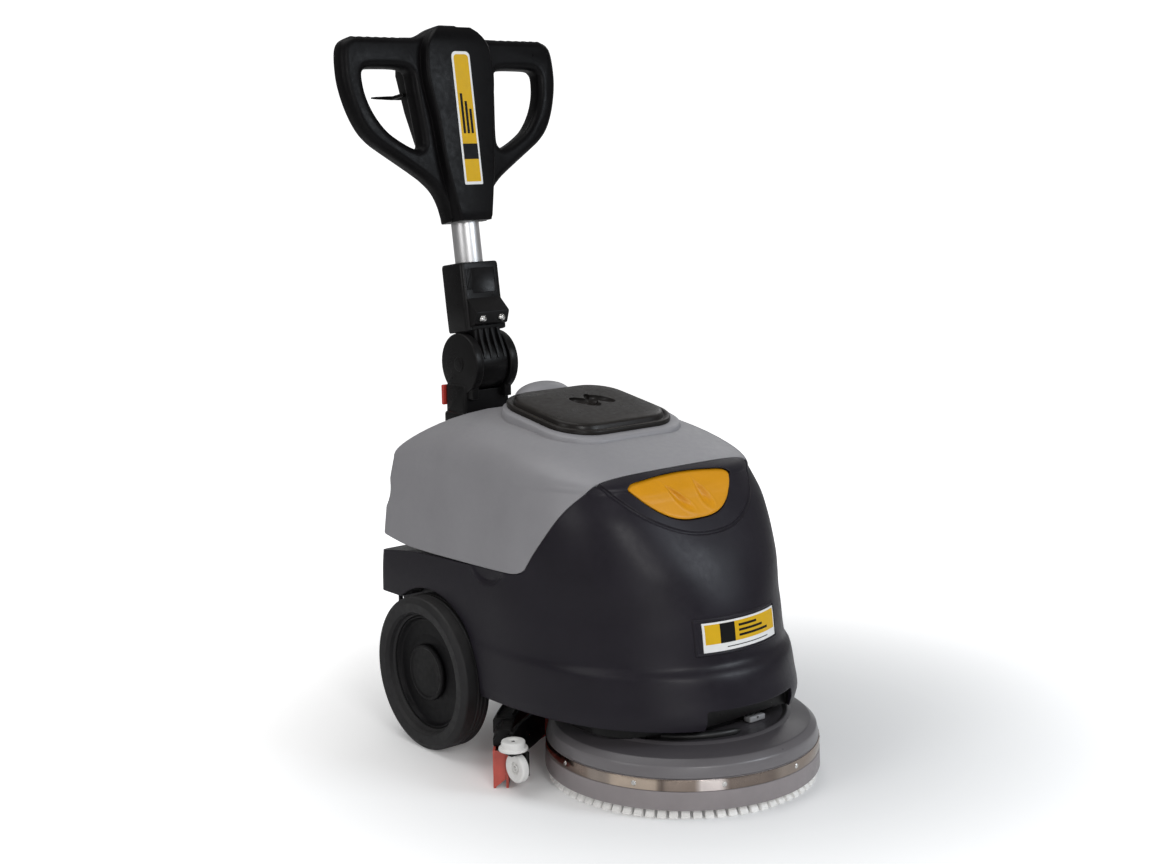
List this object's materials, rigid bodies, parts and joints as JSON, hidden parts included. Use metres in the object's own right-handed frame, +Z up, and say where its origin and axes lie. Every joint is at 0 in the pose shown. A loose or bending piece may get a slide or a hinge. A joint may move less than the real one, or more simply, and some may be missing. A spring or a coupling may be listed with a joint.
{
  "type": "floor scrubber",
  "caption": "Compact walk-behind floor scrubber with a round brush deck, curved squeegee, dark moulded body, grey recovery tank and a folding handle column.",
  "frame": {"origin": "on the floor under the middle of the overall length and width", "axes": "+Z up, the brush deck and front of the machine towards -Y, the machine's left side (seen from behind the handle) at -X"},
  "size_m": [0.524, 0.7792, 1.0747],
  "materials": {
    "body_charcoal": "satin rotomoulded charcoal plastic",
    "inset_black": "moulded black",
    "badge_yellow": "printed film, plain stripes",
    "flap_amber": "amber moulded plastic",
    "tank_grey": "satin rotomoulded grey plastic",
    "lid_black": "moulded black plastic",
    "hump_grey": "satin grey plastic",
    "frame_black": "black powder coat",
    "axle_steel": "plain steel rod",
    "battery_grey": "battery case",
    "battery_grey_right": "battery case",
    "vacuum_black": "moulded housing",
    "deck_grey": "satin grey moulded cover",
    "skirt_grey": "warm grey rubber",
    "band_steel": "brushed band",
    "screw_steel_1": "pan head screw",
    "screw_steel_2": "pan head screw",
    "screw_steel_3": "pan head screw",
    "screw_steel_4": "pan head screw",
    "screw_steel_5": "pan head screw",
    "screw_steel_6": "pan head screw",
    "screw_steel_7": "pan head screw",
    "screw_steel_8": "pan head screw",
    "screw_steel_9": "pan head screw",
    "screw_steel_10": "pan head screw",
    "lug_grey": "moulded lug",
    "gearbox_aluminium": "cast housing",
    "motor_black": "painted motor can",
    "hub_steel": "turned steel",
    "brush_block": "moulded brush block",
    "bristle_white": "nylon bristle, drawn as tufts in the visual",
    "tyre_dark_left": "grey-black rubber",
    "rim_black_left": "moulded black",
    "cap_black_left": "moulded black cap",
    "blade_red_front": "red squeegee rubber",
    "bracket_black_left": "black bracket",
    "roller_white_left": "white nylon",
    "side_wheel_white_left": "white nylon",
    "bolt_steel_left": "zinc plated bolt",
    "switch_left": "rocker switch",
    "tyre_dark_right": "grey-black rubber",
    "rim_black_right": "moulded black",
    "cap_black_right": "moulded black cap",
    "blade_red_rear": "red squeegee rubber",
    "bracket_black_right": "black bracket",
    "roller_white_right": "white nylon",
    "side_wheel_white_right": "white nylon",
    "bolt_steel_right": "zinc plated bolt",
    "switch_right": "rocker switch",
    "squeegee_black": "moulded black",
    "hose_black": "ribbed hose",
    "column_black": "satin black",
    "pin_steel": "steel pin",
    "lever_red": "red moulded tab",
    "bracket_black": "satin black moulding",
    "tube_aluminium": "satin anodised tube",
    "handle_black": "satin black moulding",
    "control_black": "satin black cover",
    "lever_black": "black bar",
    "sticker_yellow": "printed film, plain stripes"
  },
  "bodies": {
    "chassis": {"chassis_frame": "frame_black", "axle": "axle_steel", "body_shell": "body_charcoal", "front_inset": "inset_black", "front_badge": "badge_yellow", "battery_left": "battery_grey", "battery_right": "battery_grey_right", "vacuum_motor": "vacuum_black", "brush_motor": "motor_black", "gearbox": "gearbox_aluminium", "deck_cover": "deck_grey", "splash_skirt": "skirt_grey", "skirt_band": "band_steel", "deck_lug": "lug_grey", "suction_hose": "hose_black", "column_post": "column_black", "pivot_pin": "pin_steel", "skirt_screw_1": "screw_steel_1", "skirt_screw_2": "screw_steel_2", "skirt_screw_3": "screw_steel_3", "skirt_screw_4": "screw_steel_4", "skirt_screw_5": "screw_steel_5", "skirt_screw_6": "screw_steel_6", "skirt_screw_7": "screw_steel_7", "skirt_screw_8": "screw_steel_8", "skirt_screw_9": "screw_steel_9", "skirt_screw_10": "screw_steel_10"},
    "wheel_left": {"tyre_left": "tyre_dark_left", "rim_left": "rim_black_left", "hub_cap_left": "cap_black_left"},
    "wheel_right": {"tyre_right": "tyre_dark_right", "rim_right": "rim_black_right", "hub_cap_right": "cap_black_right"},
    "brush": {"drive_hub": "hub_steel", "brush_disc": "brush_block", "brush_bristles": "bristle_white"},
    "tank": {"recovery_tank": "tank_grey", "rear_hump": "hump_grey"},
    "lid": {"tank_lid": "lid_black"},
    "flap": {"filler_flap": "flap_amber"},
    "squeegee": {"squeegee_body": "squeegee_black", "blade_front": "blade_red_front", "blade_rear": "blade_red_rear", "end_bracket_left": "bracket_black_left", "end_bracket_right": "bracket_black_right"},
    "roller_left": {"bumper_roller_left": "roller_white_left"},
    "roller_right": {"bumper_roller_right": "roller_white_right"},
    "side_wheel_l": {"side_wheel_left": "side_wheel_white_left"},
    "side_wheel_r": {"side_wheel_right": "side_wheel_white_right"},
    "handle": {"column_bracket": "bracket_black", "bracket_bolt_left": "bolt_steel_left", "bracket_bolt_right": "bolt_steel_right", "column_tube": "tube_aluminium", "handle_head": "handle_black", "control_box": "control_black", "handle_sticker": "sticker_yellow"},
    "fold_lock": {"release_lever": "lever_red"},
    "drive_bar": {"drive_lever": "lever_black"},
    "switch_l": {"switch_left": "switch_left"},
    "switch_r": {"switch_right": "switch_right"}
  },
  "joints": [
    {"name": "wheel_left_spin", "type": "hinge", "parent": "chassis", "child": "wheel_left", "pos_m": [-0.2088, 0.12033, 0.115], "axis": [1, 0, 0], "continuous": true},
    {"name": "wheel_right_spin", "type": "hinge", "parent": "chassis", "child": "wheel_right", "pos_m": [0.2088, 0.12033, 0.115], "axis": [1, 0, 0], "continuous": true},
    {"name": "brush_spin", "type": "hinge", "parent": "chassis", "child": "brush", "pos_m": [0, -0.19407, 0.03], "axis": [0, 0, 1], "continuous": true},
    {"name": "tank_lift_off", "type": "slide", "parent": "chassis", "child": "tank", "axis": [0, -0.2425, 0.9701], "range_m": [0, 0.22]},
    {"name": "lid_open", "type": "hinge", "parent": "tank", "child": "lid", "pos_m": [0, 0.10843, 0.52018], "axis": [-1, 0, 0], "range_deg": [0, 75]},
    {"name": "filler_flap_open", "type": "hinge", "parent": "chassis", "child": "flap", "pos_m": [0, -0.19807, 0.438], "axis": [-1, 0, 0], "range_deg": [0, 60]},
    {"name": "squeegee_lift", "type": "slide", "parent": "chassis", "child": "squeegee", "axis": [0, 0, 1], "range_m": [0, 0.02]},
    {"name": "roller_left_spin", "type": "hinge", "parent": "squeegee", "child": "roller_left", "pos_m": [-0.24, -0.11307, 0.07], "axis": [0, 0, 1], "continuous": true},
    {"name": "roller_right_spin", "type": "hinge", "parent": "squeegee", "child": "roller_right", "pos_m": [0.24, -0.11307, 0.07], "axis": [0, 0, 1], "continuous": true},
    {"name": "side_wheel_left_spin", "type": "hinge", "parent": "squeegee", "child": "side_wheel_l", "pos_m": [-0.239, -0.12007, 0.039], "axis": [1, 0, 0], "continuous": true},
    {"name": "side_wheel_right_spin", "type": "hinge", "parent": "squeegee", "child": "side_wheel_r", "pos_m": [0.239, -0.12007, 0.039], "axis": [1, 0, 0], "continuous": true},
    {"name": "handle_fold", "type": "hinge", "parent": "chassis", "child": "handle", "pos_m": [0, 0.27193, 0.544], "axis": [-1, 0, 0], "range_deg": [-85, 25]},
    {"name": "fold_release", "type": "hinge", "parent": "chassis", "child": "fold_lock", "pos_m": [-0.042, 0.31143, 0.51], "axis": [1, 0, 0], "range_deg": [0, 25]},
    {"name": "drive_bar_squeeze", "type": "hinge", "parent": "handle", "child": "drive_bar", "pos_m": [0, 0.36093, 0.96168], "axis": [1, 0, 0], "range_deg": [0, 12]},
    {"name": "switch_left_rock", "type": "hinge", "parent": "handle", "child": "switch_l", "pos_m": [-0.03, 0.37346, 0.92154], "axis": [1, 0, 0], "range_deg": [-8, 8]},
    {"name": "switch_right_rock", "type": "hinge", "parent": "handle", "child": "switch_r", "pos_m": [0.03, 0.37346, 0.92154], "axis": [1, 0, 0], "range_deg": [-8, 8]}
  ]
}
